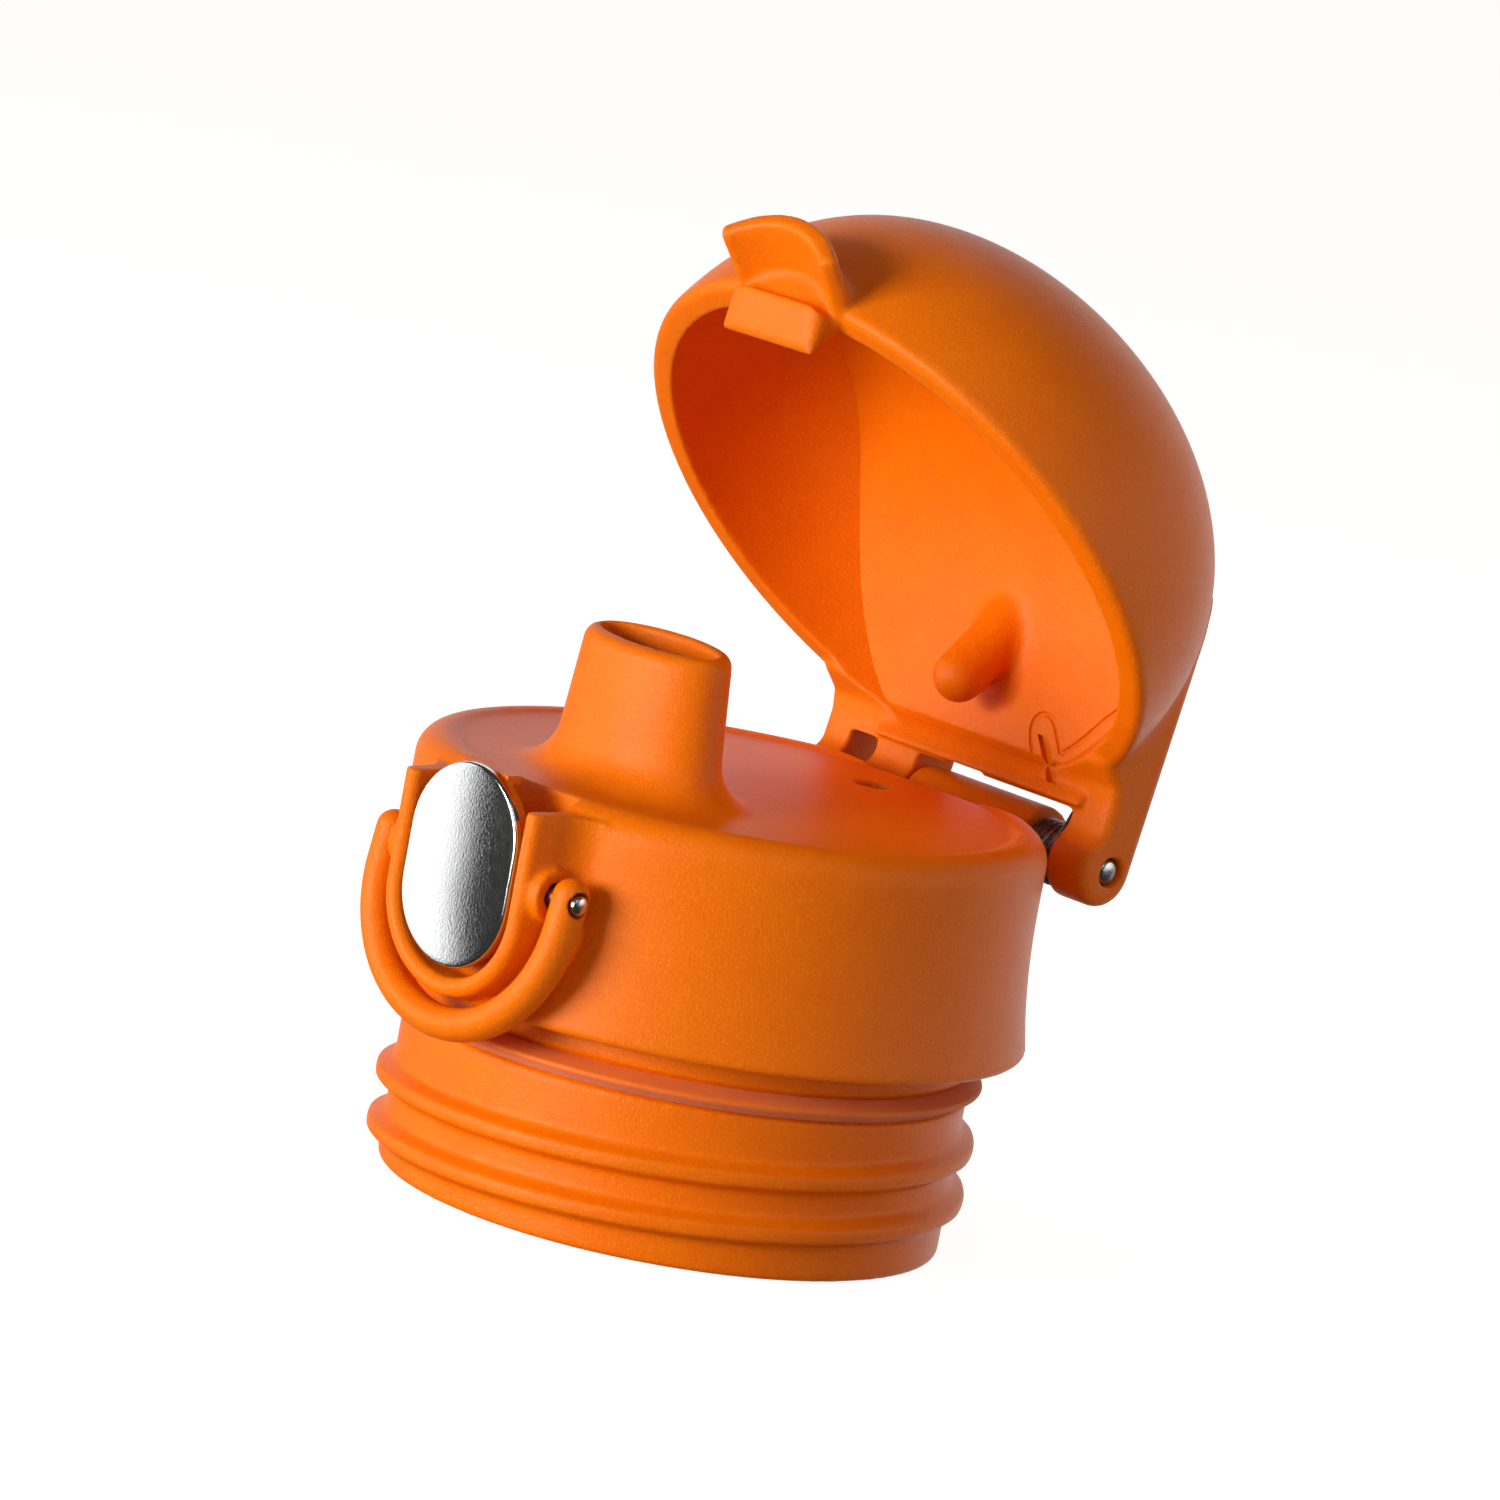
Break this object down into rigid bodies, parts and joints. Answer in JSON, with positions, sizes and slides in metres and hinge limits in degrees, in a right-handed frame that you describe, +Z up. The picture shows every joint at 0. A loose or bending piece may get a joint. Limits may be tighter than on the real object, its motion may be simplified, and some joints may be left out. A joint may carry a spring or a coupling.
{
  "type": "flip top cap",
  "caption": "Screw-in drinks bottle cap with a domed flip lid on a rear hinge, an oval spout, a rocking press-button latch and a swinging carry loop.",
  "frame": {"origin": "on the neck's axis at the threaded collar's bottom face", "axes": "+Z up along the neck's axis, -Y towards the press button, +Y towards the lid's hinge, whose axis runs along X"},
  "size_m": [0.0676, 0.0849, 0.1019],
  "materials": {
    "orange_shell": "fine spark-eroded texture",
    "silicone": "smooth soft moulding",
    "polished_steel": "satin polish",
    "pin_steel": "ground",
    "spring_steel": "drawn wire"
  },
  "bodies": {
    "body": {"cap_body": "orange_shell", "neck_collar": "orange_shell", "neck_seal": "silicone", "hinge_pin": "pin_steel", "latch_pin": "pin_steel", "lid_spring": "spring_steel", "button_spring": "spring_steel"},
    "lid": {"lid_shell": "orange_shell", "lid_liner": "orange_shell", "spout_plug": "silicone"},
    "button": {"button_plate": "polished_steel", "button_rocker": "orange_shell"},
    "loop": {"bail": "orange_shell"}
  },
  "joints": [
    {"name": "lid_hinge", "type": "hinge", "parent": "body", "child": "lid", "pos_m": [0, 0.03475, 0.03976], "axis": [-1, 0, 0], "range_deg": [-48.8, 66], "stiffness_Nm_per_rad": 0.004, "springref_deg": 65.89, "deforming": ["lid_spring"]},
    {"name": "button_rock", "type": "hinge", "parent": "body", "child": "button", "pos_m": [0, -0.033, 0.0349], "axis": [1, 0, 0], "range_deg": [0, 7], "stiffness_Nm_per_rad": 0.02, "springref_deg": -6.88, "deforming": ["button_spring"]},
    {"name": "loop_swing", "type": "hinge", "parent": "body", "child": "loop", "pos_m": [0, -0.033, 0.0349], "axis": [-1, 0, 0], "range_deg": [0, 128]}
  ]
}
